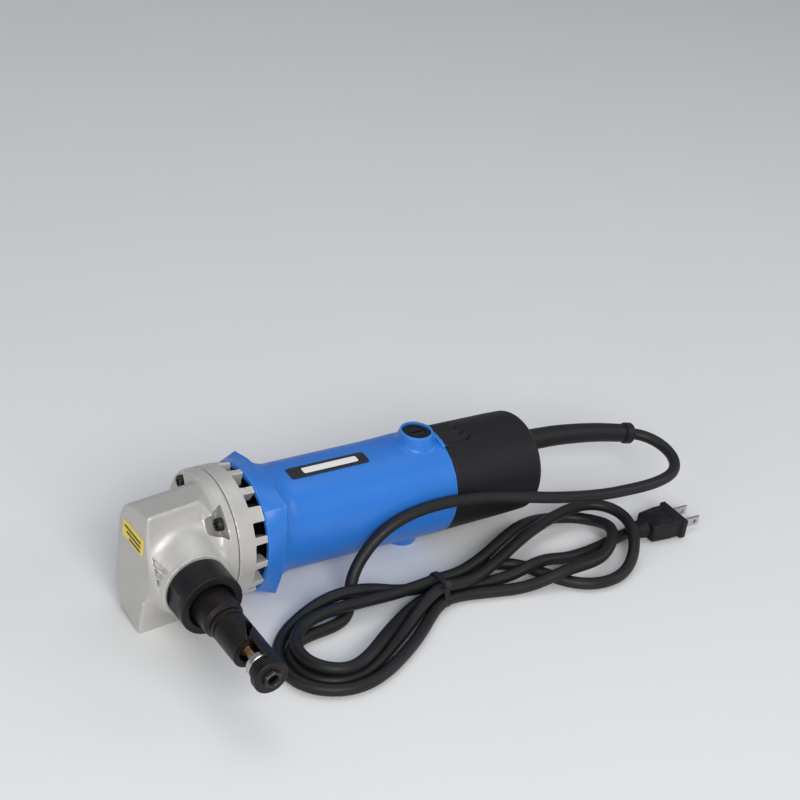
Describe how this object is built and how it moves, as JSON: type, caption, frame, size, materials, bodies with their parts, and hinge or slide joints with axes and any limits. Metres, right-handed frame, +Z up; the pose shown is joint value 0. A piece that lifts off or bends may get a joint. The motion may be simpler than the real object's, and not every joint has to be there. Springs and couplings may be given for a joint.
{
  "type": "corded sheet-metal nibbler",
  "caption": "Corded nibbler for sheet metal: grey gear housing with a die head at right angles, blue motor barrel, black rear cover, cord and two-pin plug.",
  "frame": {"origin": "middle of the tool's footprint, without the cord, on the surface it lies on", "axes": "+X along the armature from the nose to the rear, -Y the way the cutting head points, +Z up as the tool lies on its side"},
  "size_m": [0.3913, 0.1718, 0.08],
  "materials": {
    "die_cast": "satin die-cast",
    "blue_plastic": "semi-gloss moulded",
    "black_plastic": "matt moulded",
    "black_oxide": "black oxide",
    "steel": "machined",
    "brass": "machined",
    "copper": null,
    "rubber": "matt",
    "carbon": "pressed carbon",
    "yellow_label": "printed sticker, left blank",
    "dark_label": "printed sticker, left blank"
  },
  "bodies": {
    "housing": {"gear_housing": "die_cast", "vent_ring": "die_cast", "motor_housing": "blue_plastic", "rear_cover": "black_plastic", "brush_cap_top": "black_plastic", "brush_cap_bottom": "black_plastic", "switch_body": "black_plastic", "cord_tie": "black_plastic", "plug_body": "black_plastic", "gear_case_screw_1": "black_oxide", "gear_case_screw_2": "black_oxide", "gear_case_screw_3": "black_oxide", "gear_case_screw_4": "black_oxide", "cover_screw_1": "black_oxide", "cover_screw_2": "black_oxide", "ram_sleeve": "steel", "stator_core": "steel", "armature_bearing_front": "steel", "armature_bearing_rear": "steel", "crank_bearing_front": "steel", "crank_bearing_rear": "steel", "cord_clamp": "steel", "clamp_screw_1": "steel", "clamp_screw_2": "steel", "plug_blade_1": "steel", "plug_blade_2": "steel", "brush_holder_top": "brass", "brush_holder_bottom": "brass", "field_coil_front": "copper", "field_coil_rear": "copper", "cord_guard": "rubber", "cord_tube": "rubber", "cord_hank": "rubber", "carbon_brush_top": "carbon", "carbon_brush_bottom": "carbon", "warning_label": "yellow_label", "name_label": "dark_label"},
    "armature": {"armature_shaft": "steel", "armature_core": "copper", "commutator": "copper", "fan": "black_plastic"},
    "crank": {"crank_shaft": "steel", "crank_gear": "steel", "eccentric_roller": "steel"},
    "ram": {"ram": "steel"},
    "punch": {"punch": "black_oxide", "punch_tip": "brass"},
    "head": {"die_holder": "black_oxide", "die": "steel", "die_ring": "black_oxide", "die_nut": "black_oxide"},
    "lock_nut": {"lock_nut": "black_oxide"},
    "switch": {"switch_button": "black_plastic", "switch_link": "steel"}
  },
  "joints": [
    {"name": "armature_spin", "type": "hinge", "parent": "housing", "child": "armature", "pos_m": [-0.11325, 0.0459, 0.04], "axis": [1, 0, 0], "continuous": true},
    {"name": "crank_spin", "type": "hinge", "parent": "housing", "child": "crank", "pos_m": [-0.16175, 0.0304, 0.04], "axis": [1, 0, 0], "continuous": true},
    {"name": "ram_slide", "type": "slide", "parent": "housing", "child": "ram", "axis": [0, -1, 0], "range_m": [-0.002, 0.002]},
    {"name": "head_turn", "type": "hinge", "parent": "housing", "child": "head", "pos_m": [-0.16175, 0.0009, 0.04], "axis": [0, -1, 0], "continuous": true},
    {"name": "punch_slide", "type": "slide", "parent": "head", "child": "punch", "axis": [0, -1, 0], "range_m": [-0.002, 0.002]},
    {"name": "lock_nut_turn", "type": "hinge", "parent": "housing", "child": "lock_nut", "pos_m": [-0.16175, 0.0009, 0.04], "axis": [0, -1, 0], "range_deg": [0, 180]},
    {"name": "switch_slide", "type": "slide", "parent": "housing", "child": "switch", "axis": [-1, 0, 0], "range_m": [0, 0.006]}
  ],
  "couplings": [
    {"joint": "crank_spin", "follows": "armature_spin", "ratio": -0.25},
    {"joint": "punch_slide", "follows": "ram_slide", "ratio": 1}
  ]
}
